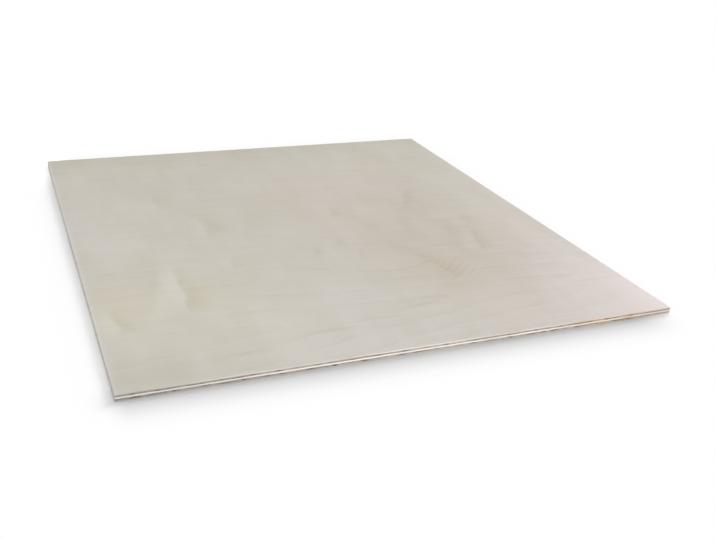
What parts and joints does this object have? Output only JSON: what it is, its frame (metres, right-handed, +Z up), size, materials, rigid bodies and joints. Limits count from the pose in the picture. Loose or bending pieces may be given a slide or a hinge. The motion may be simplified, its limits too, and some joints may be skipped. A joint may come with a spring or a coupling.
{
  "type": "plywood sheet",
  "caption": "Flat sheet of birch plywood, cross-laminated veneers with the ply layers showing on its sawn edges, pale sanded face.",
  "frame": {"origin": "middle of the underside, on the surface that the sheet lies on", "axes": "+X along the grain of the face, to the right; +Y across the grain, towards the back; +Z up, out of the face"},
  "size_m": [0.5, 0.6, 0.0065],
  "materials": {
    "birch_face": "fine sanded, unfinished",
    "birch_crossband": "sawn veneer edge, unfinished",
    "birch_core": "sawn veneer edge, unfinished",
    "birch_back": "sanded, unfinished"
  },
  "bodies": {
    "root": {"face_veneer": "birch_face", "upper_crossband": "birch_crossband", "core_veneer": "birch_core", "lower_crossband": "birch_crossband", "back_veneer": "birch_back"}
  },
  "joints": []
}
